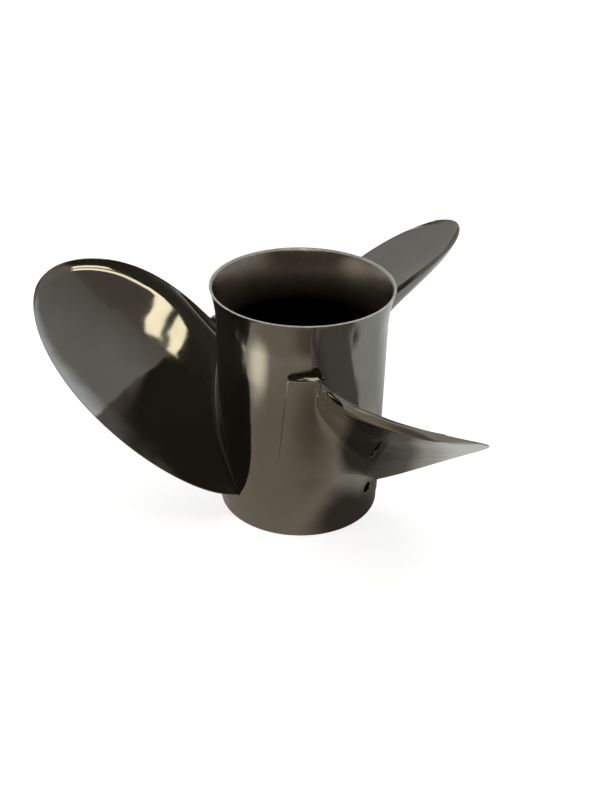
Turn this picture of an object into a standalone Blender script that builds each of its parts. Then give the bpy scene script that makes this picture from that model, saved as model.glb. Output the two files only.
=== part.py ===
"""Left-hand outboard propeller with a through-hub exhaust, standing on its front rim.

+Z runs aft along the shaft. The origin is on the shaft axis, in the plane of the front rim.
"""
import math

import bpy
import bmesh
import numpy as np

# Barrel
BARREL_LENGTH = 0.1616
BARREL_FRONT_RADIUS = 0.0556
BARREL_WALL = 0.0038
TAPER_WIDTH = 0.0013
BARREL_AFT_RADIUS = BARREL_FRONT_RADIUS + TAPER_WIDTH
BARREL_BORE_RADIUS = BARREL_FRONT_RADIUS - BARREL_WALL
FLARE_WIDTH = 0.0041
FLARE_RADIUS = BARREL_AFT_RADIUS + FLARE_WIDTH
FLARE_LENGTH = 0.0280
RIM_WIDTH = 0.0018
LAND_LENGTH = 0.0093
LAND_STEP = 0.0006

# Vent hole in front of each blade
VENT_RADIUS = 0.0038
VENT_HEIGHT = 0.0236
VENT_ANGLE = math.radians(15.3)

# Blades: the chord ratios are of the half chord at the root, the skew and rake ratios of the blade's length
BLADE_COUNT = 3
BLADE_ANGLE = math.radians(312.08)
TIP_RADIUS = 0.1778
BLADE_LENGTH = TIP_RADIUS - BARREL_FRONT_RADIUS
PITCH = 0.5461
BLADE_HEIGHT = 0.0694
ROOT_HALF_CHORD = 0.05665
CHORD_GROWTH_RATIO = 1.086
CHORD_TAPER_RATIO = 0.877
TIP_ROUNDNESS = 3.37
SKEW_STRAIGHT_RATIO = 0.072
SKEW_CURVED_RATIO = 0.3633
RAKE_STRAIGHT_RATIO = 0.5049
RAKE_CURVED_RATIO = 0.0565
ROOT_THICKNESS = 0.0120
TIP_THICKNESS = 0.0032
LEADING_EDGE = 0.0014
TRAILING_EDGE_ROOT = 0.0060
TRAILING_EDGE_TIP = 0.0024
CAMBER = 0.0010
TRAILING_DROP = 0.0025
CUP_HEIGHT = 0.0040
CUP_WIDTH = 0.0150

# Blade root: fillet and the raised pad on the front side of the blade, with angles from the blade's own
FILLET = 0.0120
FILLET_EDGE = 0.0006
FILLET_END_RATIO = 0.1
LEADING_FOOT = 0.0040
TRAILING_FOOT = 0.0055
ROOT_DEPTH = 0.0040
PAD_TOP_HEIGHT = 0.1218
PAD_BOTTOM_HEIGHT = 0.0460
PAD_TOP_ANGLE = math.radians(-50.5)
PAD_BOTTOM_ANGLE = math.radians(-57.5)
PAD_RIGHT_ANGLE = math.radians(1.5)
PAD_LEFT_RISE = 0.0047
PAD_RIGHT_RISE = 0.0075

# Inner hub and its ribs
HUB_RADIUS = 0.0390
HUB_FRONT = 0.0140
HUB_LENGTH = 0.0860
HUB_WALL = 0.0044
KEY_SIDES = 6
KEY_FLAT_RADIUS = (HUB_RADIUS - HUB_WALL) * math.cos(math.pi / KEY_SIDES)
SHOULDER_LENGTH = 0.0050
SHOULDER_WIDTH = 0.0075
SHOULDER_RADIUS = KEY_FLAT_RADIUS - SHOULDER_WIDTH
RIB_COUNT = 3
RIB_ANGLE = math.radians(108.0)
RIB_THICKNESS = 0.0080
RIB_SET_BACK = 0.0030
RIB_AFT_RISE = 0.0060

# Hub kit: shell, rubber and sleeve take their length from the inner hub that holds them
SEAM = 0.0003
SHELL_SET_BACK = 0.0027
SHELL_LENGTH = HUB_LENGTH - SHOULDER_LENGTH - SEAM - SHELL_SET_BACK
SHELL_WALL = 0.0035
RUBBER_SET_BACK = 0.0020
RUBBER_LENGTH = SHELL_LENGTH - 2 * RUBBER_SET_BACK
SPLINE_COUNT = 15
SPLINE_MAJOR_RADIUS = 0.0159
SPLINE_DEPTH = 0.0015
SLEEVE_WALL = 0.0031
SLEEVE_RADIUS = SPLINE_MAJOR_RADIUS + SLEEVE_WALL
SLEEVE_OVERHANG = 0.0035
SLEEVE_LENGTH = SHELL_LENGTH + 2 * SLEEVE_OVERHANG
SPACER_WIDTH = 0.0117
SPACER_LENGTH = 0.0060
SPACER_CHAMFER = 0.0012
SPACER_CLEARANCE = 0.0004

# How finely round shapes are cut
TURNED_STEPS = 96
FLARE_STEPS = 7
CHORD_STEPS = 14
SPAN_STEPS = 11
SPAN_CROWDING = 1.8
TIP_TRIM_RATIO = 0.0004
FILLET_STEPS = 4
PAD_ROWS = 8
PAD_COLUMNS = 9
VENT_SIDES = 24
CREASE_ANGLE = math.radians(35)
CUT_MARGIN = 0.0200
MERGE = 0.00001


def barrel_radius(z):
    """Outer radius of the barrel between its land and its flare."""
    share = (z - LAND_LENGTH) / (BARREL_LENGTH - FLARE_LENGTH - LAND_LENGTH)
    return BARREL_FRONT_RADIUS + (BARREL_AFT_RADIUS - BARREL_FRONT_RADIUS) * share


def clear_scene():
    for obj in list(bpy.data.objects):
        bpy.data.objects.remove(obj, do_unlink=True)


def new_collection(name):
    made = bpy.data.collections.new(name)
    bpy.context.scene.collection.children.link(made)
    return made


def new_material(name, colour, roughness, metallic):
    made = bpy.data.materials.new(name)
    made.use_nodes = True
    shader = made.node_tree.nodes["Principled BSDF"]
    shader.inputs["Base Color"].default_value = (*colour, 1.0)
    shader.inputs["Roughness"].default_value = roughness
    shader.inputs["Metallic"].default_value = metallic
    return made


def place(name, mesh, material):
    made = bpy.data.objects.new(name, mesh)
    parts.objects.link(made)
    if not mesh.materials:
        mesh.materials.append(material)
    return made


def place_cutter(name, mesh):
    made = bpy.data.objects.new(name, mesh)
    cutters.objects.link(made)
    made.hide_render = True
    made.display_type = "WIRE"
    return made


def turned_mesh(name, profile):
    """A closed outline of (radius, z) points, which runs down its outer side first."""
    count = len(profile)
    mesh = bpy.data.meshes.new(name)
    edges = [(i, (i + 1) % count) for i in range(count)]
    mesh.from_pydata([(r, 0.0, z) for r, z in profile], edges, [])
    return mesh


def spin(obj):
    screw = obj.modifiers.new("Spin", "SCREW")
    screw.axis = "Z"
    screw.angle = math.tau
    screw.steps = TURNED_STEPS
    screw.render_steps = TURNED_STEPS
    screw.use_merge_vertices = True
    screw.merge_threshold = MERGE
    screw.use_smooth_shade = True


def boolean(obj, other, operation):
    made = obj.modifiers.new(other.name, "BOOLEAN")
    made.operation = operation
    made.solver = "EXACT"
    made.object = other


def prism_mesh(name, sides, flat_radius, low, high):
    """A regular prism on the Z axis, given the radius to its flats."""
    mesh = bpy.data.meshes.new(name)
    shape = bmesh.new()
    corner = flat_radius / math.cos(math.pi / sides)
    bmesh.ops.create_cone(shape, cap_ends=True, segments=sides, radius1=corner, radius2=corner,
                          depth=high - low)
    bmesh.ops.translate(shape, verts=shape.verts, vec=(0.0, 0.0, (low + high) / 2))
    shape.to_mesh(mesh)
    shape.free()
    return mesh


def loft_mesh(name, front, back):
    """The closed body between two grids of points with the same rows and columns."""
    rows, columns = front.shape[:2]
    size = rows * columns
    index = np.arange(size).reshape(rows, columns)
    faces = []
    for grid, flip in ((index, False), (index + size, True)):
        for i in range(rows - 1):
            for j in range(columns - 1):
                quad = [grid[i, j], grid[i, j + 1], grid[i + 1, j + 1], grid[i + 1, j]]
                faces.append(quad[::-1] if flip else quad)
    rim = [*index[0, :], *index[1:, -1], *index[-1, -2::-1], *index[-2:0:-1, 0]]
    for a, b in zip(rim, rim[1:] + rim[:1]):
        faces.append([b, a, a + size, b + size])
    points = np.concatenate([front.reshape(-1, 3), back.reshape(-1, 3)])
    mesh = bpy.data.meshes.new(name)
    mesh.from_pydata(points.tolist(), [], [[int(v) for v in face] for face in faces])
    shape = bmesh.new()
    shape.from_mesh(mesh)
    bmesh.ops.recalc_face_normals(shape, faces=shape.faces)
    shape.to_mesh(mesh)
    shape.free()
    return mesh


def finished_mesh(obj, name):
    """The object's mesh with its modifiers applied."""
    bpy.context.view_layer.update()
    graph = bpy.context.evaluated_depsgraph_get()
    mesh = bpy.data.meshes.new_from_object(obj.evaluated_get(graph))
    mesh.name = name
    return mesh


def flare_points(start, end, length):
    """Radius growing as the square of the way along the flare, from its rim down to the barrel."""
    rows = []
    for i in range(FLARE_STEPS + 1):
        share = 1 - i / FLARE_STEPS
        rows.append((start + (end - start) * share ** 2, BARREL_LENGTH - length * (1 - share)))
    return rows


def make_barrel():
    outside = flare_points(BARREL_AFT_RADIUS, FLARE_RADIUS, FLARE_LENGTH)
    land = BARREL_FRONT_RADIUS - LAND_STEP
    front = [(BARREL_FRONT_RADIUS, LAND_LENGTH), (land, LAND_LENGTH - LAND_STEP), (land, 0.0)]
    inside = flare_points(BARREL_BORE_RADIUS, FLARE_RADIUS - RIM_WIDTH, FLARE_LENGTH)
    profile = outside + front + [(BARREL_BORE_RADIUS, 0.0)] + inside[::-1]
    barrel = place("hub_barrel", turned_mesh("hub_barrel", profile), polished_steel)
    spin(barrel)
    for i in range(BLADE_COUNT):
        angle = BLADE_ANGLE + VENT_ANGLE + i * math.tau / BLADE_COUNT
        drill = prism_mesh("vent_drill", VENT_SIDES, VENT_RADIUS, -FLARE_RADIUS, FLARE_RADIUS)
        cutter = place_cutter(f"vent_drill_{i + 1}", drill)
        cutter.rotation_euler = (0.0, math.pi / 2, angle)
        cutter.location = (FLARE_RADIUS * math.cos(angle), FLARE_RADIUS * math.sin(angle), VENT_HEIGHT)
        boolean(barrel, cutter, "DIFFERENCE")


def barrel_envelope():
    """The space that a blade root has to leave to the barrel."""
    low = -CUT_MARGIN
    high = BARREL_LENGTH - FLARE_LENGTH
    profile = [(barrel_radius(high) + SEAM, high), (barrel_radius(low) + SEAM, low), (0.0, low), (0.0, high)]
    envelope = place_cutter("barrel_envelope", turned_mesh("barrel_envelope", profile))
    spin(envelope)
    return envelope


def helix_angle(radius):
    return np.arctan(PITCH / (math.tau * radius))


def on_section(radius, along, normal, rake):
    """A point of the cylindrical section, given along its chord (to the leading edge) and off its face."""
    lean = helix_angle(radius)
    angle = BLADE_ANGLE + (along * np.cos(lean) + normal * np.sin(lean)) / radius
    z = BLADE_HEIGHT + rake - along * np.sin(lean) + normal * np.cos(lean)
    return angle, z


def blade_sides():
    """Rows of points from the buried root to the tip, for the aft face and for the front face."""
    base = BARREL_FRONT_RADIUS
    turn = np.linspace(0.0, math.pi / 2, FILLET_STEPS + 1)
    rises = [-ROOT_DEPTH, *(FILLET_EDGE + (FILLET - FILLET_EDGE) * (1 - np.cos(turn)))]
    flares = [1.0, *(1 - np.sin(turn))]
    first = rises[-1] / BLADE_LENGTH
    spans = 1 - (1 - first) * (1 - np.linspace(0.0, 1.0, SPAN_STEPS)[1:]) ** SPAN_CROWDING
    spans[-1] = 1 - TIP_TRIM_RATIO
    rises = np.array([*rises, *(spans * BLADE_LENGTH)])[:, None]
    flares = np.array([*flares, *np.zeros(SPAN_STEPS - 1)])[:, None]
    share = ((1 - np.cos(np.linspace(0.0, math.pi, CHORD_STEPS))) / 2)[None, :]

    span = np.clip(rises / BLADE_LENGTH, 0.0, 1.0)
    rounding = np.sqrt(1 - span ** TIP_ROUNDNESS)
    widening = 1 + CHORD_GROWTH_RATIO * span - CHORD_TAPER_RATIO * span ** 2
    half_chord = ROOT_HALF_CHORD * widening * rounding
    skew = -BLADE_LENGTH * (SKEW_STRAIGHT_RATIO * span + SKEW_CURVED_RATIO * span ** 2)
    rake = BLADE_LENGTH * (RAKE_STRAIGHT_RATIO * span - RAKE_CURVED_RATIO * span ** 2)
    along = skew + half_chord * (1 - 2 * share)
    along = along + flares * (LEADING_FOOT * (1 - share) ** 4 - TRAILING_FOOT * share ** 4)

    cup_share = np.clip(1 - (1 - share) * 2 * half_chord / CUP_WIDTH, 0.0, 1.0)
    bend = -CAMBER * 4 * share * (1 - share) - (TRAILING_DROP + CUP_HEIGHT) * share
    face = (bend + CUP_HEIGHT * cup_share ** 2) * rounding
    trailing = TRAILING_EDGE_ROOT + (TRAILING_EDGE_TIP - TRAILING_EDGE_ROOT) * span
    thickest = ROOT_THICKNESS + (TIP_THICKNESS - ROOT_THICKNESS) * span
    bulge = np.maximum(thickest - (LEADING_EDGE + 2 * trailing) / 3, 0.0)
    hump = 6.75 * share ** 2 * (1 - share)  # reaches 1 two thirds of the way back
    thickness = LEADING_EDGE + (trailing - LEADING_EDGE) * share + bulge * hump
    foot = FILLET * (FILLET_END_RATIO + (1 - FILLET_END_RATIO) * np.sin(math.pi * share) ** 2) * flares

    sides = []
    for normal in (face + foot, face - thickness - foot):
        radius = np.broadcast_to(base + rises, normal.shape)
        angle, z = on_section(radius, along, normal, rake)
        radius = radius + SEAM + (barrel_radius(z) - base) * (1 - span) ** 2
        sides.append(np.stack([radius * np.cos(angle), radius * np.sin(angle), z], -1))
    return sides


def pad_sides():
    """Outer and buried grids of the raised pad in front of the blade root."""
    share = np.linspace(0.0, 1.0, PAD_ROWS)[:, None]
    across = np.linspace(0.0, 1.0, PAD_COLUMNS)[None, :]
    z = PAD_BOTTOM_HEIGHT + (PAD_TOP_HEIGHT - PAD_BOTTOM_HEIGHT) * share
    left = BLADE_ANGLE + PAD_BOTTOM_ANGLE + (PAD_TOP_ANGLE - PAD_BOTTOM_ANGLE) * share
    lean = helix_angle(BARREL_FRONT_RADIUS)
    right = BLADE_ANGLE + PAD_RIGHT_ANGLE - (z - BLADE_HEIGHT) / (np.tan(lean) * BARREL_FRONT_RADIUS)
    angle = left + (right - left) * across
    tallest = PAD_LEFT_RISE + (PAD_RIGHT_RISE - PAD_LEFT_RISE) * across
    rise = FILLET_EDGE + (tallest - FILLET_EDGE) * share
    grids = []
    for radius in (barrel_radius(z) + SEAM + rise, barrel_radius(z) - ROOT_DEPTH + 0 * rise):
        grids.append(np.stack([radius * np.cos(angle), radius * np.sin(angle), z + 0 * angle], -1))
    return grids


def make_blades():
    rough = place_cutter("blade_rough", loft_mesh("blade_rough", *blade_sides()))
    pad = place_cutter("root_pad", loft_mesh("root_pad", *pad_sides()))
    boolean(rough, pad, "UNION")
    boolean(rough, barrel_envelope(), "DIFFERENCE")
    mesh = finished_mesh(rough, "blade")
    mesh.shade_smooth()
    mesh.set_sharp_from_angle(angle=CREASE_ANGLE)
    for i in range(BLADE_COUNT):
        blade = place(f"blade_{i + 1}", mesh, polished_steel)
        blade.rotation_euler.z = i * math.tau / BLADE_COUNT


def make_inner_hub():
    aft = HUB_FRONT + HUB_LENGTH
    profile = [(HUB_RADIUS, aft), (HUB_RADIUS, HUB_FRONT), (SHOULDER_RADIUS, HUB_FRONT),
               (SHOULDER_RADIUS, aft)]
    hub = place("inner_hub", turned_mesh("inner_hub", profile), cast_steel)
    spin(hub)
    seat = HUB_FRONT + SHOULDER_LENGTH
    broach = prism_mesh("key_broach", KEY_SIDES, KEY_FLAT_RADIUS, seat, aft + CUT_MARGIN)
    boolean(hub, place_cutter("key_broach", broach), "DIFFERENCE")


def make_ribs():
    half = RIB_THICKNESS / 2
    inner = HUB_RADIUS + SEAM
    outer = math.sqrt(BARREL_BORE_RADIUS ** 2 - half ** 2) - SEAM
    low = HUB_FRONT + RIB_SET_BACK
    high = HUB_FRONT + HUB_LENGTH
    outline = [(inner, low), (outer, low), (outer, high + RIB_AFT_RISE), (inner, high)]
    for i in range(RIB_COUNT):
        shape = bpy.data.curves.new(f"rib_{i + 1}", "CURVE")
        shape.dimensions = "2D"
        shape.fill_mode = "BOTH"
        shape.extrude = half
        line = shape.splines.new("POLY")
        line.points.add(len(outline) - 1)
        for point, (r, z) in zip(line.points, outline):
            point.co = (r, z, 0.0, 1.0)
        line.use_cyclic_u = True
        shape.materials.append(cast_steel)
        rib = bpy.data.objects.new(f"rib_{i + 1}", shape)
        parts.objects.link(rib)
        rib.rotation_euler = (math.pi / 2, 0.0, RIB_ANGLE + i * math.tau / RIB_COUNT)


def make_hub_kit():
    seat = HUB_FRONT + SHOULDER_LENGTH + SEAM
    flat = KEY_FLAT_RADIUS - SEAM
    solid = prism_mesh("bushing_shell", KEY_SIDES, flat, seat, seat + SHELL_LENGTH)
    shell = place("bushing_shell", solid, grey_shell)
    bore = flat - SHELL_WALL
    high = seat + SHELL_LENGTH + CUT_MARGIN
    profile = [(bore, high), (bore, -CUT_MARGIN), (0.0, -CUT_MARGIN), (0.0, high)]
    drill = place_cutter("shell_drill", turned_mesh("shell_drill", profile))
    spin(drill)
    boolean(shell, drill, "DIFFERENCE")

    low = seat + RUBBER_SET_BACK
    high = low + RUBBER_LENGTH
    outer = bore - SEAM
    inner = SLEEVE_RADIUS + SEAM
    profile = [(outer, high), (outer, low), (inner, low), (inner, high)]
    spin(place("rubber_bushing", turned_mesh("rubber_bushing", profile), black_rubber))

    middle = seat + SHELL_LENGTH / 2
    make_drive_sleeve(middle)
    make_aft_spacer(middle + SLEEVE_LENGTH / 2 + SEAM)


def make_drive_sleeve(middle):
    shape = bpy.data.curves.new("drive_sleeve", "CURVE")
    shape.dimensions = "2D"
    shape.fill_mode = "BOTH"
    shape.extrude = SLEEVE_LENGTH / 2
    minor = SPLINE_MAJOR_RADIUS - SPLINE_DEPTH
    tooth = [minor, minor, SPLINE_MAJOR_RADIUS, SPLINE_MAJOR_RADIUS]
    for radii in ([SLEEVE_RADIUS], tooth):
        count = len(tooth) * SPLINE_COUNT
        line = shape.splines.new("POLY")
        line.points.add(count - 1)
        for i, point in enumerate(line.points):
            turn = i * math.tau / count
            radius = radii[i % len(radii)]
            point.co = (radius * math.cos(turn), radius * math.sin(turn), 0.0, 1.0)
        line.use_cyclic_u = True
    shape.materials.append(brass)
    sleeve = bpy.data.objects.new("drive_sleeve", shape)
    parts.objects.link(sleeve)
    sleeve.location.z = middle


def make_aft_spacer(low):
    high = low + SPACER_LENGTH
    inner = SPLINE_MAJOR_RADIUS + SPACER_CLEARANCE
    outer = inner + SPACER_WIDTH
    profile = [(outer - SPACER_CHAMFER, high), (outer, high - SPACER_CHAMFER), (outer, low),
               (inner, low), (inner, high)]
    spin(place("aft_spacer", turned_mesh("aft_spacer", profile), brushed_steel))


clear_scene()
parts = new_collection("outboard_propeller")
cutters = new_collection("cutters")
polished_steel = new_material("polished_steel", (0.52, 0.50, 0.47), 0.08, 1.0)
cast_steel = new_material("cast_steel", (0.30, 0.27, 0.25), 0.55, 1.0)
brushed_steel = new_material("brushed_steel", (0.55, 0.55, 0.54), 0.30, 1.0)
brass = new_material("brass", (0.70, 0.52, 0.24), 0.30, 1.0)
black_rubber = new_material("black_rubber", (0.03, 0.03, 0.03), 0.70, 0.0)
grey_shell = new_material("grey_shell", (0.16, 0.16, 0.17), 0.50, 0.0)
make_barrel()
make_blades()
make_inner_hub()
make_ribs()
make_hub_kit()
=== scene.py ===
import math
import bpy
import numpy as np
from mathutils import Matrix, Vector


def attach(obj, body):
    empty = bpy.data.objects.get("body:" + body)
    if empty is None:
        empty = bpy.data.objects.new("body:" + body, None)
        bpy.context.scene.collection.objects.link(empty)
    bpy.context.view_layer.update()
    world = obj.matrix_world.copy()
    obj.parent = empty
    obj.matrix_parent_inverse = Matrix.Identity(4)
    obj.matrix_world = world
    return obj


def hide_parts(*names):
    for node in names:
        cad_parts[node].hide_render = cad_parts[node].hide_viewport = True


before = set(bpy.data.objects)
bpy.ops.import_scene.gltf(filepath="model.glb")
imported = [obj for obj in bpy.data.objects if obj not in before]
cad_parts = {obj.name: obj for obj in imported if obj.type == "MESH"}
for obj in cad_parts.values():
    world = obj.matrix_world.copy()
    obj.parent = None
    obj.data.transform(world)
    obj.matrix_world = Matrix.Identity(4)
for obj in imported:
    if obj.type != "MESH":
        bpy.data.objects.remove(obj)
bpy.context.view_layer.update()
scene = bpy.context.scene
tau = math.tau
firstBlade = math.radians(312.08)  # the near blade's angle round the shaft
bladeTurns = np.arange(3) * tau / 3  # blades, vents and ribs repeat at these angles
print("frame loaded,", len(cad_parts), "nodes")


def gridQuads(rows, columns, wrapRows=False, wrapColumns=False):  # quads between neighbouring points
    i = np.arange(rows if wrapRows else rows - 1)[:, None]
    j = np.arange(columns if wrapColumns else columns - 1)[None, :]
    nextI = (i + 1) % rows
    nextJ = (j + 1) % columns
    quads = [i * columns + j, i * columns + nextJ, nextI * columns + nextJ, nextI * columns + j]
    return np.stack(quads, -1).reshape(-1, 4)


def outward(points, quads):  # turns the faces over where the body they close has a negative volume
    a, b, c, d = (points[quads[:, k]] for k in range(4))
    volume = (a * np.cross(b, c)).sum() + (a * np.cross(c, d)).sum()
    return quads if volume > 0 else quads[:, ::-1]


def skinMesh(name, points, quads, finishes, faceFinish=None, crease=40.0):
    points = points.reshape(-1, 3)
    quads = outward(points, quads)
    mesh = bpy.data.meshes.new(name)
    mesh.from_pydata(points.tolist(), [], quads.tolist())
    mesh.validate()
    for finish in finishes:
        mesh.materials.append(finish)
    if faceFinish is not None:
        mesh.polygons.foreach_set("material_index", faceFinish.astype(np.int32))
    mesh.shade_smooth()
    mesh.set_sharp_from_angle(angle=math.radians(crease))
    return mesh


def addPiece(name, mesh, body, slot, *nodes):
    piece = bpy.data.objects.new(name, mesh)
    scene.collection.objects.link(piece)
    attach(piece, body)
    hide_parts(*nodes)


# materials

mixSockets = {"share": 0, "below": 6, "above": 7, "result": 2}  # places of a mix node's colour sockets


def newFinish(name):
    finish = bpy.data.materials.new(name)
    finish.use_nodes = True
    tree = finish.node_tree
    shader = tree.nodes["Principled BSDF"]
    coords = tree.nodes.new("ShaderNodeTexCoord").outputs["Object"]
    return finish, tree, shader, coords


def dress(tree, shader, tone, roughness, metallic):
    shader.inputs["Metallic"].default_value = metallic
    tree.links.new(tone, shader.inputs["Base Color"])
    tree.links.new(roughness, shader.inputs["Roughness"])


def stretched(tree, coords, scale):
    mapping = tree.nodes.new("ShaderNodeMapping")
    mapping.inputs["Scale"].default_value = scale
    tree.links.new(coords, mapping.inputs["Vector"])
    return mapping.outputs["Vector"]


def mottle(tree, coords, scale, detail=4.0, roughness=0.55):
    noise = tree.nodes.new("ShaderNodeTexNoise")
    noise.inputs["Scale"].default_value = scale
    noise.inputs["Detail"].default_value = detail
    noise.inputs["Roughness"].default_value = roughness
    tree.links.new(coords, noise.inputs["Vector"])
    return noise.outputs["Fac"]


def ramp(tree, value, stops):
    node = tree.nodes.new("ShaderNodeValToRGB")
    while len(node.color_ramp.elements) < len(stops):
        node.color_ramp.elements.new(0.5)
    for element, (place, colour) in zip(node.color_ramp.elements, stops):
        element.position = place
        element.color = (*colour, 1.0)
    tree.links.new(value, node.inputs["Fac"])
    return node.outputs["Color"]


def spread(tree, value, low, high, fromLow=0.3, fromHigh=0.7):
    node = tree.nodes.new("ShaderNodeMapRange")
    node.inputs["From Min"].default_value = fromLow
    node.inputs["From Max"].default_value = fromHigh
    node.inputs["To Min"].default_value = low
    node.inputs["To Max"].default_value = high
    tree.links.new(value, node.inputs["Value"])
    return node.outputs["Result"]


def laidOver(tree, share, below, above):  # lays one colour over another; each is a socket or a fixed colour
    mix = tree.nodes.new("ShaderNodeMix")
    mix.data_type = "RGBA"
    tree.links.new(share, mix.inputs[mixSockets["share"]])
    for place, colour in (("below", below), ("above", above)):
        socket = mix.inputs[mixSockets[place]]
        if isinstance(colour, tuple):
            socket.default_value = (*colour, 1.0)
        else:
            tree.links.new(colour, socket)
    return mix.outputs[mixSockets["result"]]


def bump(tree, shader, value, strength, distance):  # a later bump lies over an earlier one
    node = tree.nodes.new("ShaderNodeBump")
    node.inputs["Strength"].default_value = strength
    node.inputs["Distance"].default_value = distance
    tree.links.new(value, node.inputs["Height"])
    for earlier in shader.inputs["Normal"].links:
        tree.links.new(earlier.from_socket, node.inputs["Normal"])
    tree.links.new(node.outputs["Normal"], shader.inputs["Normal"])


def axisDistance(tree, coords):  # distance from the shaft's axis, for turned rings
    flat = tree.nodes.new("ShaderNodeVectorMath")
    flat.operation = "MULTIPLY"
    flat.inputs[1].default_value = (1.0, 1.0, 0.0)
    length = tree.nodes.new("ShaderNodeVectorMath")
    length.operation = "LENGTH"
    tree.links.new(coords, flat.inputs[0])
    tree.links.new(flat.outputs["Vector"], length.inputs[0])
    return length.outputs["Value"]


def polishedSteel():  # mirror polish, with long waves left by hand grinding under the fine polishing marks
    finish, tree, shader, coords = newFinish("polishedSteel")
    cloud = mottle(tree, coords, scale=14.0, detail=3.0)
    tone = ramp(tree, cloud, [(0.3, (0.42, 0.402, 0.378)), (0.7, (0.50, 0.482, 0.46))])
    smear = mottle(tree, stretched(tree, coords, (40.0, 40.0, 9.0)), scale=1.0, detail=5.0)
    dress(tree, shader, tone, spread(tree, smear, low=0.045, high=0.11), metallic=1.0)
    waves = mottle(tree, coords, scale=45.0, detail=1.0)
    bump(tree, shader, waves, strength=1.0, distance=0.00035)
    marks = mottle(tree, stretched(tree, coords, (900.0, 900.0, 160.0)), scale=1.0, detail=2.0)
    bump(tree, shader, marks, strength=0.04, distance=0.0002)
    return finish


def castSteel():
    finish, tree, shader, coords = newFinish("castSteel")
    cloud = mottle(tree, coords, scale=45.0, detail=6.0)
    tone = ramp(tree, cloud, [
        (0.3, (0.16, 0.145, 0.13)), (0.55, (0.26, 0.235, 0.21)), (0.75, (0.34, 0.31, 0.28))])
    dress(tree, shader, tone, spread(tree, cloud, low=0.50, high=0.36), metallic=1.0)
    bump(tree, shader, mottle(tree, coords, scale=900.0, detail=3.0), strength=0.25, distance=0.0004)
    return finish


boreShadeLine = {"black": 0.126, "unshaded": 0.158, "colour": (0.0015, 0.0013, 0.0011)}  # painted shade: the bore fades from black to bare metal between the heights


def paintedShadeBore():  # as cast, with painted shade: black below the open end, where the bore lies in shadow
    finish, tree, shader, coords = newFinish("paintedShadeBore")
    shader.inputs["Specular Tint"].default_value = (0.35, 0.32, 0.28, 1.0)
    cloud = mottle(tree, coords, scale=45.0, detail=6.0)
    bare = ramp(tree, cloud, [
        (0.3, (0.56, 0.51, 0.45)), (0.55, (0.69, 0.63, 0.56)), (0.75, (0.80, 0.74, 0.67))])
    split = tree.nodes.new("ShaderNodeSeparateXYZ")
    tree.links.new(coords, split.inputs["Vector"])
    # painted shade: 0 low in the bore, where it is painted black, 1 near the open end
    unshaded = spread(tree, split.outputs["Z"], 0.0, 1.0, boreShadeLine["black"], boreShadeLine["unshaded"])
    tone = laidOver(tree, unshaded, boreShadeLine["colour"], bare)
    dress(tree, shader, tone, spread(tree, unshaded, 0.75, 0.22, fromLow=0.0, fromHigh=1.0), metallic=1.0)
    bump(tree, shader, mottle(tree, coords, scale=900.0, detail=3.0), strength=0.20, distance=0.0004)
    return finish


def rimSteel():
    finish, tree, shader, coords = newFinish("rimSteel")
    wear = mottle(tree, coords, scale=220.0, detail=3.0)
    tone = ramp(tree, wear, [(0.3, (0.72, 0.71, 0.69)), (0.6, (0.93, 0.93, 0.92))])
    dress(tree, shader, tone, spread(tree, wear, low=0.42, high=0.28), metallic=0.35)
    return finish


def turnedMetal(name, dark, light, smoothest, roughest):  # rings of fine tool marks round the axis
    finish, tree, shader, coords = newFinish(name)
    tone = ramp(tree, mottle(tree, coords, scale=70.0), [(0.3, dark), (0.7, light)])
    noise = tree.nodes.new("ShaderNodeTexNoise")
    noise.noise_dimensions = "1D"
    noise.inputs["Scale"].default_value = 2600.0
    noise.inputs["Detail"].default_value = 2.0
    tree.links.new(axisDistance(tree, coords), noise.inputs["W"])
    rings = noise.outputs["Fac"]
    dress(tree, shader, tone, spread(tree, rings, smoothest, roughest), metallic=1.0)
    bump(tree, shader, rings, strength=0.15, distance=0.0002)
    return finish


def blackRubber():
    finish, tree, shader, coords = newFinish("blackRubber")
    cloud = mottle(tree, coords, scale=120.0, detail=5.0)
    tone = ramp(tree, cloud, [(0.3, (0.018, 0.018, 0.018)), (0.7, (0.042, 0.041, 0.040))])
    dress(tree, shader, tone, spread(tree, cloud, low=0.78, high=0.58), metallic=0.0)
    bump(tree, shader, mottle(tree, coords, scale=1500.0, detail=2.0), strength=0.15, distance=0.0002)
    return finish


def mouldedShell():  # fibres drawn out along the shaft
    finish, tree, shader, coords = newFinish("mouldedShell")
    fibres = mottle(tree, stretched(tree, coords, (700.0, 700.0, 120.0)), scale=1.0, detail=3.0)
    tone = ramp(tree, fibres, [
        (0.35, (0.10, 0.10, 0.105)), (0.62, (0.17, 0.17, 0.175)), (0.8, (0.24, 0.24, 0.245))])
    dress(tree, shader, tone, spread(tree, fibres, low=0.55, high=0.42), metallic=0.0)
    bump(tree, shader, fibres, strength=0.12, distance=0.0002)
    return finish


steel = polishedSteel()
castInside = castSteel()
paintedShadeInside = paintedShadeBore()
bareRim = rimSteel()
brass = turnedMetal("turnedBrass", (0.58, 0.41, 0.17), (0.74, 0.55, 0.26), 0.22, 0.40)
spacerSteel = turnedMetal("turnedSteel", (0.46, 0.46, 0.45), (0.62, 0.62, 0.61), 0.20, 0.38)
rubber = blackRubber()
shellGrey = mouldedShell()
print("materials ready")


# barrel: a profile carried round the shaft's axis

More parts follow.
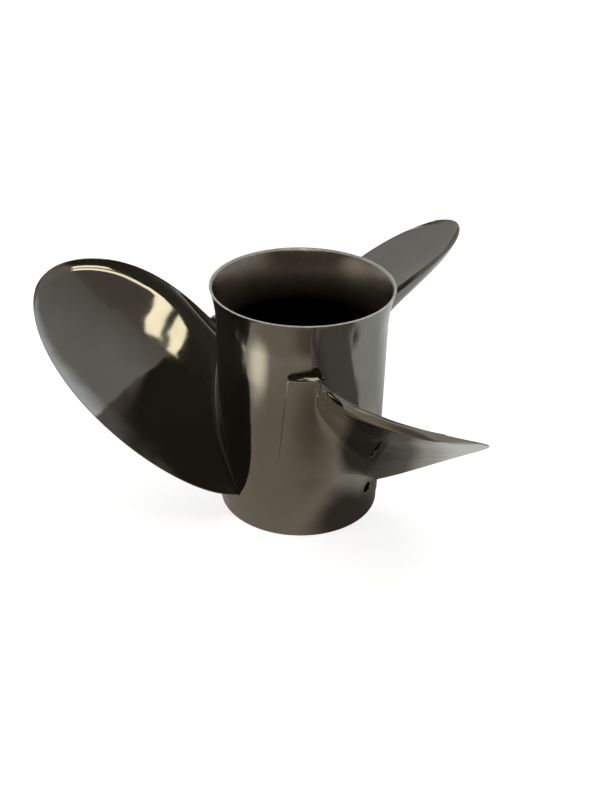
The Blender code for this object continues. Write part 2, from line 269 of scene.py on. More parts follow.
barrel = {
    "length": 0.1616, "frontRadius": 0.0556, "aftRadius": 0.0569, "boreRadius": 0.0518,
    "flareRadius": 0.0610, "flareLength": 0.0280, "rimWidth": 0.0014, "rimRound": 0.0004,
    "landLength": 0.0093, "landStep": 0.0006, "footRound": 0.0007,
    "ventRadius": 0.0038, "ventBevel": 0.0004, "ventHeight": 0.0236, "ventAngle": math.radians(15.3),
    "ventSides": 48, "drillPin": 0.0001,
    "steps": 320, "flareRows": 24, "stepRows": 6, "wallRows": 42, "boreRows": 30, "crease": 30.0,
}
barrelFinishes = [steel, bareRim, paintedShadeInside]
polishedFace, rimFace, paintedShadeFace = range(3)  # their places in that list


def barrelRadius(z):  # straight taper between the land and the flare
    taper = barrel["length"] - barrel["flareLength"] - barrel["landLength"]
    share = (z - barrel["landLength"]) / taper
    return barrel["frontRadius"] + (barrel["aftRadius"] - barrel["frontRadius"]) * share


def arc(centre, radius, start, end, steps=6):  # points on an arc in the plane of radius and height
    turn = np.radians(np.linspace(start, end, steps))
    return np.stack([centre[0] + radius * np.cos(turn), centre[1] + radius * np.sin(turn)], -1)


def barrelProfile():  # up the outside, over the rim and down the bore; the flare grows as a square
    p = barrel
    land = p["frontRadius"] - p["landStep"]
    foot = p["footRound"]
    edge = p["rimRound"]
    way = np.linspace(0.0, 1.0, p["flareRows"])
    flareZ = p["length"] - p["flareLength"] * (1 - way)
    outerFlare = np.stack([p["aftRadius"] + (p["flareRadius"] - p["aftRadius"]) * way ** 2, flareZ], -1)
    innerEnd = p["flareRadius"] - p["rimWidth"]
    innerFlare = np.stack([p["boreRadius"] + (innerEnd - p["boreRadius"]) * way ** 2, flareZ], -1)
    stepShare = np.linspace(0.0, 1.0, p["stepRows"])
    step = np.stack([land + p["landStep"] * (1 - np.cos(math.pi * stepShare)) / 2,
                     p["landLength"] - p["landStep"] * (1 - stepShare)], -1)
    wallZ = np.linspace(p["landLength"], flareZ[0], p["wallRows"])[1:-1]
    wall = np.stack([barrelRadius(wallZ), wallZ], -1)
    outside = [arc((land - foot, foot), foot, -90, 0), step, wall, outerFlare[:-1]]
    rim = [arc((p["flareRadius"] - edge, p["length"] - edge), edge, 0, 90),
           arc((innerEnd + edge, p["length"] - edge), edge, 90, 180)]
    boreZ = np.linspace(flareZ[0], foot, p["boreRows"])[1:-1]
    bore = np.stack([np.full_like(boreZ, p["boreRadius"]), boreZ], -1)
    inside = [innerFlare[:-1][::-1], bore, arc((p["boreRadius"] + foot, foot), foot, 180, 270)]
    counts = [sum(len(part) for part in group) for group in (outside, rim, inside)]
    return np.concatenate(outside + rim + inside), np.repeat([polishedFace, rimFace, paintedShadeFace], counts)


def turnedPoints(profile, steps):
    turn = np.linspace(0.0, tau, steps, endpoint=False)[None, :]
    r, z = profile[:, :1], profile[:, 1:]
    return np.stack([r * np.cos(turn), r * np.sin(turn), z + 0 * turn], -1)


def ventDrill(angle):  # a shank and a bevel cone carried round the hole's own axis
    p = barrel
    pin, shank, sides = p["drillPin"], p["ventRadius"], p["ventSides"]
    tip = 2 * shank
    low = p["frontRadius"] - tip
    bevel = p["frontRadius"] - p["ventBevel"]
    top = bevel + tip
    profile = np.array([(pin, low), (shank, low), (shank, bevel), (shank + tip, top), (pin, top)])
    points = turnedPoints(profile, sides)
    across, up, out = points[..., 0], points[..., 1], points[..., 2]
    placed = np.stack([out * math.cos(angle) - across * math.sin(angle),
                       out * math.sin(angle) + across * math.cos(angle), p["ventHeight"] + up], -1)
    # the shank leaves a wall in the bore's painted black shade, the cone a polished bevel
    faceFinish = np.repeat([paintedShadeFace, paintedShadeFace, polishedFace, polishedFace, polishedFace], sides)
    quads = gridQuads(len(profile), sides, True, True)
    mesh = skinMesh("ventDrill", placed, quads, barrelFinishes, faceFinish)
    drill = bpy.data.objects.new("ventDrill", mesh)
    scene.collection.objects.link(drill)
    return drill


def cutVents(mesh, angles):
    rough = bpy.data.objects.new("barrelRough", mesh)
    scene.collection.objects.link(rough)
    drills = [ventDrill(angle) for angle in angles]
    for drill in drills:
        cut = rough.modifiers.new("vent", "BOOLEAN")
        cut.operation = "DIFFERENCE"
        cut.solver = "EXACT"
        cut.object = drill
    bpy.context.view_layer.update()
    done = bpy.data.meshes.new_from_object(rough.evaluated_get(bpy.context.evaluated_depsgraph_get()))
    for spent in (rough, *drills):
        bpy.data.objects.remove(spent, do_unlink=True)
    done.set_sharp_from_angle(angle=math.radians(barrel["crease"]))
    return done


profile, profileFinish = barrelProfile()
barrelMesh = skinMesh("barrelSkin", turnedPoints(profile, barrel["steps"]),
                      gridQuads(len(profile), barrel["steps"], True, True), barrelFinishes,
                      np.repeat(profileFinish, barrel["steps"]), barrel["crease"])
ventAngles = firstBlade + barrel["ventAngle"] + bladeTurns
addPiece("barrelSkin", cutVents(barrelMesh, ventAngles), "propeller", "polished_steel", "hub_barrel")
print("barrel turned and its vents drilled")


# blades: rows climb from the pad's edge over the root fillet to the tip

blade = {
    "angle": firstBlade, "tipRadius": 0.1778, "pitch": 0.5461, "height": 0.0694,
    "rootHalfChord": 0.05665, "chordGrowth": 1.066, "chordTaper": 0.877, "tipRoundness": 3.37,
    "skewStraight": 0.072, "skewCurved": 0.3633, "rakeStraight": 0.5049, "rakeCurved": 0.0565,
    "rootThickness": 0.0075, "tipThickness": 0.0032, "tipRound": 0.0012, "leadingEdge": 0.0010,
    "trailingRoot": 0.0045, "trailingTip": 0.0016, "edgeRound": 0.0007, "edgeLimit": 0.45,
    "camber": 0.0010, "trailingDrop": 0.0018,
    "cupHeight": 0.0042, "cupWidth": 0.0115, "cupFade": 0.3, "cupTipFade": 5,
    "rootCurl": 0.0084, "curlLength": 0.0400, "curlPower": 4,
    "filletAft": 0.0100, "filletFront": 0.0200, "filletLead": 0.0050, "filletTail": 0.0220,
    "filletEase": 1.4, "footAtEnds": 0.0012, "leadingFoot": 0.0040, "trailingFoot": 0.0070, "footPower": 4,
    "padTop": 0.1245, "padTopLeft": 0.1245, "padTopBack": 0.1250, "padBottom": 0.0380,
    "padTopAngle": math.radians(-50.5), "padBottomAngle": math.radians(-58.2),
    "padRightAngle": math.radians(1.5), "padOverrun": 1.2, "padEase": 1.4, "padFade": 0.0060,
    "padFaintest": 0.01, "padLeftRise": 0.0048, "padRightRise": 0.0084, "padRound": 0.0012,
    "topClose": 0.0045, "topPower": 8, "sunk": 0.0002, "hidden": 0.0020,
    "columns": 80, "slideRows": 6, "slideStart": 0.02, "underRows": 8, "apronRows": 20, "apronCrowding": 3,
    "filletRows": 18, "spanRows": 64, "lastRow": 0.982, "crease": 50.0,
}


def quarterRound(distance, width):  # rises as a quarter of an ellipse over the width
    return np.sqrt(1 - (1 - np.clip(distance / width, 0.0, 1.0)) ** 2)


def padShare(z):  # 0 at the pad's foot, 1 at its top
    return np.clip((z - blade["padBottom"]) / (blade["padTop"] - blade["padBottom"]), 0.0, 1.0)


def padLeft(z):  # angle of the pad's left edge, which leans with the height
    lean = blade["padTopAngle"] - blade["padBottomAngle"]
    return blade["angle"] + blade["padBottomAngle"] + lean * padShare(z)


def padRise(angle, z):  # the pad thickens from nothing at its foot to its top, and towards the blade
    p = blade
    base = barrel["frontRadius"]
    lean = math.atan(p["pitch"] / (tau * base))
    left = padLeft(z)
    right = p["angle"] + p["padRightAngle"] - (z - p["height"]) / (math.tan(lean) * base)
    across = np.clip((angle - left) / (right - left), 0.0, p["padOverrun"])
    tallest = p["padLeftRise"] + (p["padRightRise"] - p["padLeftRise"]) * across
    return tallest * padShare(z) ** p["padEase"] * quarterRound((angle - left) * base, p["padRound"])


def onSection(radius, along, normal, rake):  # a helix section: along its chord, and off its face
    lean = np.arctan(blade["pitch"] / (tau * radius))
    angle = blade["angle"] + (along * np.cos(lean) + normal * np.sin(lean)) / radius
    z = blade["height"] + rake - along * np.sin(lean) + normal * np.cos(lean)
    return angle, z


def rowValues(*groups):  # one value for each row, group after group
    return np.concatenate([np.atleast_1d(group) for group in groups])[:, None]


# rows of one face, way 1 aft and -1 front. They start under the root and run out to the fillet's foot,
# to the pad's left edge and back over the pad, up the fillet's quarter ellipse and along the span to the tip
def sideRows(way):
    p = blade
    slideRows, underRows, apronRows = p["slideRows"], p["underRows"], p["apronRows"]
    footRow = slideRows + underRows + apronRows
    turn = np.linspace(0.0, math.pi / 2, p["filletRows"])
    later = np.zeros(len(turn) + p["spanRows"])
    slid = np.linspace(p["slideStart"], 1.0, slideRows)
    under = np.linspace(0.0, 1.0, underRows + 1)[1:]
    apron = 1 - np.linspace(0.0, 1.0, apronRows + 1)[:-1] ** p["apronCrowding"]
    if way > 0:
        buried = rowValues(np.ones(slideRows), np.linspace(1.0, 0.0, underRows + apronRows), later)
    else:
        buried = rowValues(np.ones(slideRows + underRows), np.zeros(apronRows), later)
    return {
        "foot": footRow,
        "slide": rowValues(slid, np.ones(underRows + apronRows), 1 + later),
        "reach": rowValues(np.zeros(slideRows), under, apron, later),  # 1 at the pad's left edge
        "onPad": rowValues(np.zeros(slideRows + underRows), np.ones(apronRows), later),
        "aboveFoot": rowValues(np.zeros(footRow), 1 + later),
        "flare": rowValues(np.ones(footRow), (1 - np.sin(turn)) ** p["filletEase"], np.zeros(p["spanRows"])),
        "climb": rowValues(np.zeros(footRow), (1 - np.cos(turn)) ** p["filletEase"], np.ones(p["spanRows"])),
        "buried": buried,
    }


def filletSize(way, share):  # height and width: largest at mid chord, with a narrow foot at the two edges
    p = blade
    middle = np.sin(math.pi * share) ** 2
    widest = p["filletAft"] if way > 0 else p["filletFront"]
    ends = p["filletLead"] + (p["filletTail"] - p["filletLead"]) * share
    return ends + (widest - ends) * middle, p["footAtEnds"] + (widest - p["footAtEnds"]) * middle


# a shallow camber with a cup along the trailing edge, and a curl aft that dies away from the root
def faceLine(share, rise, rounding, fromTail):
    p = blade
    cup = np.clip(1 - fromTail / p["cupWidth"], 0.0, 1.0) ** 2
    cupShown = rounding ** p["cupFade"] * np.minimum(p["cupTipFade"] * rounding, 1.0)
    face = -(p["camber"] * 4 * share * (1 - share) + p["trailingDrop"] * share) * rounding
    face = face + p["cupHeight"] * share * (cup - 1) * cupShown
    return face + p["rootCurl"] * share ** p["curlPower"] * np.exp(-rise / p["curlLength"])


# from the sharp leading edge to the blunt trailing edge, with a hump two thirds back
def thickness(share, span, length):
    p = blade
    humpScale = 27 / 4  # brings the hump's peak to 1
    trailing = p["trailingRoot"] + (p["trailingTip"] - p["trailingRoot"]) * span
    thickest = p["rootThickness"] + (p["tipThickness"] - p["rootThickness"]) * span
    bulge = np.maximum(thickest - (p["leadingEdge"] + 2 * trailing) / 3, 0.0)
    straight = p["leadingEdge"] + (trailing - p["leadingEdge"]) * share
    thick = straight + bulge * humpScale * share ** 2 * (1 - share)
    return thick * quarterRound((1 - span) * length, p["tipRound"])


def bladeSide(way):  # one face: each row lies on the helix section of its radius, then the pad is drawn out
    p = blade
    rows = sideRows(way)
    footRow, flare, climb, reach = rows["foot"], rows["flare"], rows["climb"], rows["reach"]
    base = barrel["frontRadius"]
    length = p["tipRadius"] - base
    share = ((1 - np.cos(np.linspace(0.0, math.pi, p["columns"]))) / 2)[None, :]
    deep, wide = filletSize(way, share)
    spanWay = np.linspace(0.0, p["lastRow"], p["spanRows"] + 1)[1:, None]
    out = 1 - (1 - deep / length) * (1 - spanWay) ** 2
    rise = np.concatenate([deep * climb[:-p["spanRows"]], out * length])

    # outline: the chord widens, then narrows to a round tip, and is swept back and raked
    span = rise / length
    rounding = np.sqrt(1 - span ** p["tipRoundness"])
    widening = 1 + p["chordGrowth"] * span - p["chordTaper"] * span ** 2
    halfChord = p["rootHalfChord"] * widening * rounding
    skew = -length * (p["skewStraight"] * span + p["skewCurved"] * span ** 2)
    rake = length * (p["rakeStraight"] * span - p["rakeCurved"] * span ** 2)
    fromTail = (1 - share) * 2 * halfChord
    along = skew + halfChord * (1 - 2 * share)
    longer = p["leadingFoot"] * (1 - share) ** p["footPower"] - p["trailingFoot"] * share ** p["footPower"]
    along = along + flare * longer

    # section: half the thickness to each side, with a round nose and a blunt tail, and the fillet's foot
    thick = thickness(share, span, length)
    nose = quarterRound(share * 2 * halfChord, p["leadingEdge"] / 2)
    edge = np.minimum(p["edgeRound"], p["edgeLimit"] * thick)
    blunted = edge * (1 - quarterRound(fromTail, edge + 1e-9))  # the last term keeps the width above zero
    half = np.minimum(thick / 2 * nose, thick / 2 - blunted)
    offset = way * rows["slide"] * (half + wide * flare * nose)
    if way < 0:  # at the trailing edge the front face runs into the pad's top, over the aft corner
        offset = offset + p["topClose"] * share ** p["topPower"] * flare * rows["slide"]
    face = faceLine(share, rise, rounding, fromTail)
    angle, z = onSection(base + rise, along, face - thick / 2 + offset, rake)

    # pad: the front face's rows cross it, and the aft face's last column follows the back of its top
    lift = padRise(angle[footRow], z[footRow])
    if way > 0:
        topEnd, drawn = p["padTopBack"], (share == 1) * 1.0
    else:
        topEnd, drawn = p["padTopLeft"], share ** p["topPower"]
    z = z + (topEnd - z[footRow, -1]) * drawn * reach
    shown = drawn if way > 0 else np.clip((z - p["padBottom"]) / p["padFade"] + 1, p["padFaintest"], 1.0)
    angle = angle - (angle - padLeft(z)) * reach * shown
    ground = (padRise(angle, z) * rows["onPad"] + lift * rows["aboveFoot"] - blunted) * (way < 0)
    depth = p["sunk"] * (1 - climb) + (p["hidden"] - p["sunk"]) * rows["buried"]
    onBarrel = (barrelRadius(z) - base) * (1 - span) ** 2
    radius = base + np.maximum(ground, 0.0) * (1 - climb) + rise - depth + onBarrel
    return np.stack([radius * np.cos(angle), radius * np.sin(angle), z], -1)


def stripCap(columns):  # closes an end row with a strip between its two faces
    k = np.arange(columns - 1)
    total = 2 * columns - 1
    return np.stack([k, k + 1, total - (k + 1), (total - k) % total], -1)


sections = np.concatenate([bladeSide(1), bladeSide(-1)[:, :0:-1]], 1)
rows, around = sections.shape[:2]
endCap = stripCap(blade["columns"])
bladeQuads = np.concatenate([gridQuads(rows, around, False, True), endCap[:, ::-1],
                             endCap + (rows - 1) * around])
for number, name in enumerate(("bladeNear", "bladeFar", "bladeLeft"), 1):
    c, s = math.cos(bladeTurns[number - 1]), math.sin(bladeTurns[number - 1])
    turned = sections @ np.array([[c, s, 0], [-s, c, 0], [0, 0, 1]])
    bladeMesh = skinMesh(name, turned, bladeQuads, [steel], None, blade["crease"])
    addPiece(name, bladeMesh, "propeller", "polished_steel", f"blade_{number}")
print("blades lofted,", rows, "by", around)


# inner hub and hub kit: closed paths round the axis, on outlines that need not be circles

ring = {"edgeRows": 5, "hexPower": 28, "crease": 35.0}


def circle(radius, steps):
    return np.full(steps, radius)


def roundedHex(flat, steps):  # the flats' distances joined by a high power mean, which rounds the corners
    turn = np.linspace(0.0, tau, steps, endpoint=False)[:, None]
    sides = np.cos(turn - np.arange(6) * tau / 6)
    return flat * (np.clip(sides, 0.0, None) ** ring["hexPower"]).sum(1) ** (-1 / ring["hexPower"])


# path rows up outline 0 and down outline 1, each with its outline, offset and height
def roundedEnds(low, high, outerRound, innerRound):
    turn = np.linspace(0.0, math.pi / 2, ring["edgeRows"])
    outer, inner = np.zeros_like(turn), np.ones_like(turn)
    c, s = np.cos(turn), np.sin(turn)
    return np.concatenate([
        np.stack([outer, -outerRound * (1 - s), low + outerRound * (1 - c)], -1),
        np.stack([outer, -outerRound * (1 - c), high - outerRound * (1 - s)], -1),
        np.stack([inner, innerRound * (1 - s), high - innerRound * (1 - c)], -1),
        np.stack([inner, innerRound * (1 - c), low + innerRound * (1 - s)], -1)])


def ringMesh(name, outlines, path, finish):  # each path row is an outline, offset and set at its height
    outlines = np.stack(outlines)
    steps = outlines.shape[1]
    radius = outlines[path[:, 0].astype(int)] + path[:, 1:2]
    turn = np.linspace(0.0, tau, steps, endpoint=False)[None, :]
    points = np.stack([radius * np.cos(turn), radius * np.sin(turn), path[:, 2:] + 0 * turn], -1)
    return skinMesh(name, points, gridQuads(len(path), steps, True, True), [finish], None, ring["crease"])


hub = {"radius": 0.0390, "front": 0.0140, "aft": 0.1000, "seat": 0.0190, "flat": 0.02996, "flatGap": 0.0001,
       "shoulder": 0.02246, "edge": 0.0012, "boreEdge": 0.0006, "seatEdge": 0.0004, "steps": 240}


def innerHubMesh():  # a tube with a hexagonal socket, and a shoulder at the front that seats the shell
    p = hub
    shoulder = 2  # place of its outline in the list below
    steps, rounded = p["steps"], p["boreEdge"]
    aftEnd = roundedEnds(p["front"], p["aft"], p["edge"], rounded)[:3 * ring["edgeRows"]]
    seat = np.array([(1, 0.0, p["seat"]), (shoulder, p["seatEdge"], p["seat"]),
                     (shoulder, 0.0, p["seat"] - p["seatEdge"]), (shoulder, 0.0, p["front"] + rounded),
                     (shoulder, rounded, p["front"])])
    outlines = [circle(p["radius"], steps), roundedHex(p["flat"] + p["flatGap"], steps),
                circle(p["shoulder"], steps)]
    return ringMesh("innerHub", outlines, np.concatenate([aftEnd, seat]), castInside)


rib = {"angle": math.radians(108.0), "half": 0.0040, "front": 0.0170, "aftRise": 0.0060, "aftDrop": 0.0005,
       "fillet": 0.0030, "filletShare": 0.35, "filletDrop": 0.5, "sunk": 0.0005,
       "sidePower": 0.25, "endPower": 0.12, "rows": 25, "sides": 64, "crease": 50.0}


def ribMesh(name, angle):  # a squared oval that swells where it meets the hub and the barrel
    p = rib
    rows, sides = p["rows"], p["sides"]
    way = np.linspace(0.0, 1.0, rows)[:, None]
    r = hub["radius"] - p["sunk"] + (barrel["boreRadius"] - hub["radius"] + 2 * p["sunk"]) * way
    atHub = np.clip(1 - way / p["filletShare"], 0, 1)
    atBarrel = np.clip(1 - (1 - way) / p["filletShare"], 0, 1)
    swell = p["fillet"] * (atHub ** 2 + atBarrel ** 2)
    low = p["front"] - p["filletDrop"] * swell
    high = hub["aft"] + p["aftRise"] * way ** 2 - p["aftDrop"]
    turn = np.linspace(0.0, tau, sides, endpoint=False)[None, :]
    c, s = np.cos(turn), np.sin(turn)
    side = np.sign(c) * np.abs(c) ** p["sidePower"] * (p["half"] + swell)
    z = (low + high) / 2 + np.sign(s) * np.abs(s) ** p["endPower"] * (high - low) / 2
    x = np.sqrt(np.maximum(r ** 2 - side ** 2, 0.0))
    points = np.stack([x * math.cos(angle) - side * math.sin(angle),
                       x * math.sin(angle) + side * math.cos(angle), z], -1)
    k = np.arange(sides // 2 - 1)
    cap = np.stack([k, k + 1, sides - 2 - k, sides - 1 - k], -1)
    quads = np.concatenate([gridQuads(rows, sides, False, True), cap[:, ::-1], cap + (rows - 1) * sides])
    return skinMesh(name, points, quads, [castInside], None, p["crease"])


addPiece("innerHub", innerHubMesh(), "propeller", "cast_steel", "inner_hub")
for number, turn in enumerate(bladeTurns, 1):
    name = f"hubRib.{number}"
    addPiece(name, ribMesh(name, rib["angle"] + turn), "propeller", "cast_steel", f"rib_{number}")

shell = {"flat": 0.02966, "bore": 0.02616, "low": 0.0193, "high": 0.0973,
         "edge": 0.0010, "boreEdge": 0.0006, "steps": 240}
bushing = {"radius": 0.02590, "bore": 0.0192, "low": 0.0213, "high": 0.0953,
           "edge": 0.0018, "boreEdge": 0.0018, "steps": 160}
sleeve = {"radius": 0.0190, "splines": 15, "splineMinor": 0.0144, "splineDepth": 0.0015,
          "splineMiddle": 0.5, "splineFlank": 0.9, "splineTurn": math.pi / 4,
          "low": 0.0158, "high": 0.1008, "edge": 0.0008, "boreEdge": 0.0008, "steps": 360}
spacer = {"radius": 0.0280, "bore": 0.0163, "low": 0.1011, "high": 0.1071,
          "edge": 0.0011, "boreEdge": 0.0006, "steps": 200}


def splined(p):  # teeth with sloping sides, from a clipped cosine that is eased at both ends
    turn = np.linspace(0.0, tau, p["steps"], endpoint=False)
    wave = p["splineMiddle"] - p["splineFlank"] * np.cos(p["splines"] * turn - p["splineTurn"])
    wave = np.clip(wave, 0.0, 1.0)
    return p["splineMinor"] + p["splineDepth"] * wave ** 2 * (3 - 2 * wave)


def kitRing(name, p, outside, inside, finish):
    path = roundedEnds(p["low"], p["high"], p["edge"], p["boreEdge"])
    return ringMesh(name, [outside, inside], path, finish)


shellOutlines = roundedHex(shell["flat"], shell["steps"]), circle(shell["bore"], shell["steps"])
addPiece("bushingShell", kitRing("bushingShell", shell, *shellOutlines, shellGrey),
         "hub_kit", "bushing_shell", "bushing_shell")
bushingOutlines = circle(bushing["radius"], bushing["steps"]), circle(bushing["bore"], bushing["steps"])
addPiece("rubberBushing", kitRing("rubberBushing", bushing, *bushingOutlines, rubber),
         "hub_kit", "rubber_bushing", "rubber_bushing")
sleeveOutlines = circle(sleeve["radius"], sleeve["steps"]), splined(sleeve)
addPiece("driveSleeve", kitRing("driveSleeve", sleeve, *sleeveOutlines, brass),
         "drive_core", "drive_sleeve", "drive_sleeve")
spacerOutlines = circle(spacer["radius"], spacer["steps"]), circle(spacer["bore"], spacer["steps"])
addPiece("aftSpacer", kitRing("aftSpacer", spacer, *spacerOutlines, spacerSteel),
         "loose_spacer", "aft_spacer", "aft_spacer")
print("hub and hub kit done")


# floor, light and camera

roomGlows = [  # azimuth from the viewer, elevation, inner and outer angle, colour
    (12, 26, 26, 42, (0.030, 0.026, 0.020)),
    (-45, 40, 22, 42, (0.045, 0.040, 0.033)),
    (-150, 8, 30, 62, (0.28, 0.28, 0.26)),
    (-72, 6, 10, 28, (0.27, 0.25, 0.21)),
    (110, 30, 22, 50, (0.22, 0.22, 0.20)),
    (60, 42, 4, 16, (0.22, 0.19, 0.14)),
    (146, 37, 2, 20, (0.74, 0.80, 0.84)),
    (-112, 43, 1, 5, (1.30, 1.28, 1.20)),
]
paintedGroundShadeAndLight = [  # painted shadows round the barrel's foot and painted pools of light on the ground that the metal mirrors: place, inner and outer distance, colour
    (-0.05, -0.16, 0.07, 0.22, (0.235, 0.203, 0.150)),
    (0.05, -0.19, 0.03, 0.12, (0.110, 0.095, 0.070)),
    (0.27, 0.04, 0.08, 0.20, (0.36, 0.38, 0.345)),
    (0.18, 0.28, 0.05, 0.22, (0.62, 0.65, 0.63)),
    (0.135, 0.020, 0.010, 0.055, (0.54, 0.555, 0.54)),
    (0.20, -0.085, 0.010, 0.05, (0.09, 0.08, 0.06)),
    (0.095, -0.030, 0.020, 0.050, (0.31, 0.31, 0.25)),
    (0.058, -0.008, 0.018, 0.036, (0.11, 0.105, 0.09)),
    (0.045, -0.045, 0.020, 0.052, (0.048, 0.043, 0.034)),
    (-0.23, -0.17, 0.01, 0.09, (1.20, 1.10, 0.88)),
]
stageLook = {
    "floor": 3.0, "floorColour": (0.92, 0.92, 0.91), "floorRoughness": 0.9, "floorShine": 0.1,
    "floorGlow": 0.80, "backdrop": 2.9, "backdropSides": 96,
    "ground": (0.28, 0.27, 0.24), "groundLight": (0.36, 0.35, 0.32), "groundDrop": 0.0005,
    "ceiling": (0.095, 0.083, 0.068), "ceilingLight": (0.115, 0.102, 0.085),
    "wall": (115.7, -14.9, 89.3, 90.7, (0.145, 0.135, 0.118)),  # a wall's straight top edge, as a half space
}
stripTone = (1.0, 0.92, 0.66)
lamps = {  # the left blade mirrors the two strips
    "floorLight": {"place": (0.0, -0.2, 2.2), "target": (0.0, 0.0, 0.0),
                   "size": (2.6, 2.6), "power": 20.0, "colour": (1.0, 1.0, 1.0), "mirrored": False},
    "lowerStrip": {"place": (0.0234, -0.2608, 0.522), "target": (-0.081, 0.032, 0.126),
                   "size": (0.212, 0.060), "power": 0.0781, "colour": stripTone, "mirrored": True},
    "upperStrip": {"place": (-0.030, -0.191, 0.573), "target": (-0.101, 0.025, 0.126),
                   "size": (0.245, 0.065), "power": 0.098, "colour": stripTone, "mirrored": True},
}


def stagePlane(name, z, finish):
    half = stageLook["floor"]
    corners = [(-half, -half, z), (half, -half, z), (half, half, z), (-half, half, z)]
    mesh = bpy.data.meshes.new(name)
    mesh.from_pydata(corners, [], [(0, 1, 2, 3)])
    mesh.materials.append(finish)
    plane = bpy.data.objects.new(name, mesh)
    scene.collection.objects.link(plane)
    return plane


def withoutShade(thing):  # gives matt surfaces neither light nor shade
    thing.visible_diffuse = False
    thing.visible_shadow = False
    thing.visible_transmission = False


def paleFinish():
    finish = bpy.data.materials.new("paleFloor")
    finish.use_nodes = True
    shader = finish.node_tree.nodes["Principled BSDF"]
    shader.inputs["Base Color"].default_value = (*stageLook["floorColour"], 1.0)
    shader.inputs["Roughness"].default_value = stageLook["floorRoughness"]
    shader.inputs["Specular IOR Level"].default_value = stageLook["floorShine"]
    shader.inputs["Emission Color"].default_value = (1.0, 1.0, 1.0, 1.0)
    shader.inputs["Emission Strength"].default_value = stageLook["floorGlow"]
    return finish


def paleFloor():  # what the camera sees below the part, and the round wall behind it
    finish = paleFinish()
    stagePlane("floor", 0.0, finish).visible_glossy = False
    away, sides = stageLook["backdrop"], stageLook["backdropSides"]
    upright = turnedPoints(np.array([(away, 0.0), (away, 2 * away)]), sides)
    mesh = skinMesh("backdrop", upright, gridQuads(2, sides, False, True), [finish])
    wall = bpy.data.objects.new("backdrop", mesh)
    scene.collection.objects.link(wall)
    withoutShade(wall)
    wall.visible_glossy = False


def glowOver(tree, below, measure, near, far, colour):  # lays on a colour that fades from near to far
    fade = tree.nodes.new("ShaderNodeMapRange")
    fade.interpolation_type = "SMOOTHSTEP"
    fade.inputs["From Min"].default_value = far
    fade.inputs["From Max"].default_value = near
    tree.links.new(measure, fade.inputs["Value"])
    return laidOver(tree, fade.outputs["Result"], below, colour)


def mirroredGround():  # the darker ground that only the polished metal sees, with painted shadow and painted pools of light
    finish = bpy.data.materials.new("mirroredGround")
    finish.use_nodes = True
    tree = finish.node_tree
    tree.nodes.remove(tree.nodes["Principled BSDF"])
    glow = tree.nodes.new("ShaderNodeEmission")
    tree.links.new(glow.outputs["Emission"], tree.nodes["Material Output"].inputs["Surface"])
    coords = tree.nodes.new("ShaderNodeTexCoord").outputs["Object"]
    stops = [(0.3, stageLook["ground"]), (0.7, stageLook["groundLight"])]
    total = ramp(tree, mottle(tree, coords, scale=30.0), stops)
    # lays on the painted shadows and painted pools of light one by one
    for x, y, inner, outer, colour in paintedGroundShadeAndLight:
        away = tree.nodes.new("ShaderNodeVectorMath")
        away.operation = "DISTANCE"
        away.inputs[1].default_value = (x, y, -stageLook["groundDrop"])
        tree.links.new(coords, away.inputs[0])
        total = glowOver(tree, total, away.outputs["Value"], inner, outer, colour)
    tree.links.new(total, glow.inputs["Color"])
    ground = stagePlane("mirroredGround", -stageLook["groundDrop"], finish)
    withoutShade(ground)
    ground.visible_camera = False


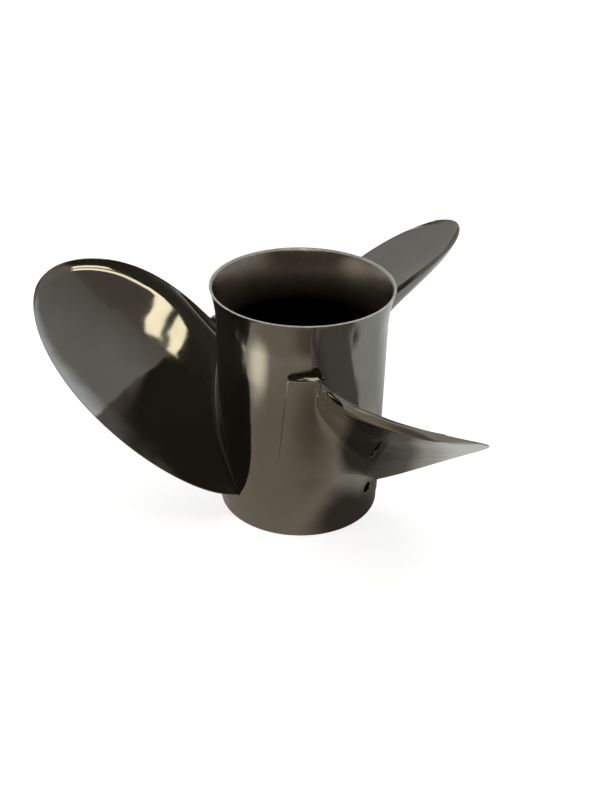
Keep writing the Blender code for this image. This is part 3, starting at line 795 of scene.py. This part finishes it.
def roomWorld():  # the dim room by direction: dark in front, grey at the back, a few soft glows
    world = bpy.data.worlds.new("room")
    scene.world = world
    world.use_nodes = True
    tree = world.node_tree
    coords = tree.nodes.new("ShaderNodeTexCoord").outputs["Generated"]
    stops = [(0.3, stageLook["ceiling"]), (0.7, stageLook["ceilingLight"])]
    total = ramp(tree, mottle(tree, coords, scale=2.0), stops)
    for azimuth, elevation, inner, outer, colour in [stageLook["wall"], *roomGlows]:
        a, e = math.radians(azimuth), math.radians(elevation)
        dot = tree.nodes.new("ShaderNodeVectorMath")
        dot.operation = "DOT_PRODUCT"
        dot.inputs[1].default_value = (math.sin(a) * math.cos(e), -math.cos(a) * math.cos(e), math.sin(e))
        tree.links.new(coords, dot.inputs[0])
        near, far = math.cos(math.radians(inner)), math.cos(math.radians(outer))
        total = glowOver(tree, total, dot.outputs["Value"], near, far, colour)
    tree.links.new(total, tree.nodes["Background"].inputs["Color"])


def softbox(name, place, target, size, power, colour, mirrored):
    light = bpy.data.lights.new(name, "AREA")
    light.shape = "RECTANGLE"
    light.size, light.size_y = size
    light.energy = power
    light.color = colour
    lamp = bpy.data.objects.new(name, light)
    lamp.location = place
    lamp.rotation_euler = (Vector(target) - Vector(place)).to_track_quat("-Z", "Y").to_euler()
    lamp.visible_glossy = mirrored
    lamp.visible_camera = False
    scene.collection.objects.link(lamp)


paleFloor()
mirroredGround()
roomWorld()
for name, settings in lamps.items():
    softbox(name, **settings)
scene.view_settings.view_transform = "Standard"

photo = {  # the view's fitted camera: focal length, aim and size in pixels
    "elevation": math.radians(30.05), "roll": math.radians(1.2), "distance": 0.82119, "height": 0.0808,
    "focal": 1202.77, "aim": (300.59, 392.09), "size": (600, 800), "sensor": 36.0, "clip": (0.01, 50.0),
}


def photoCamera():  # looks at the axis, and is then turned so that the axis falls on the aim
    p = photo
    forward = Vector((0.0, math.cos(p["elevation"]), -math.sin(p["elevation"])))
    place = Vector((0.0, 0.0, p["height"])) - p["distance"] * forward
    level = Vector((1.0, 0.0, 0.0))
    upright = level.cross(forward)
    right = math.cos(p["roll"]) * level + math.sin(p["roll"]) * upright
    up = math.cos(p["roll"]) * upright - math.sin(p["roll"]) * level
    offX = (p["size"][0] / 2 - p["aim"][0]) / p["focal"]
    offY = (p["aim"][1] - p["size"][1] / 2) / p["focal"]
    look = (forward + offX * right + offY * up).normalized()
    right = (right - right.dot(look) * look).normalized()
    up = right.cross(look)
    data = bpy.data.cameras.new("photoCamera")
    data.sensor_width = p["sensor"]
    data.lens = p["focal"] * data.sensor_width / p["size"][1]
    data.clip_start, data.clip_end = p["clip"]
    camera = bpy.data.objects.new("photoCamera", data)
    camera.matrix_world = Matrix.Translation(place) @ Matrix((right, up, -look)).transposed().to_4x4()
    scene.collection.objects.link(camera)
    scene.camera = camera


photoCamera()
print("stage, light and camera set")
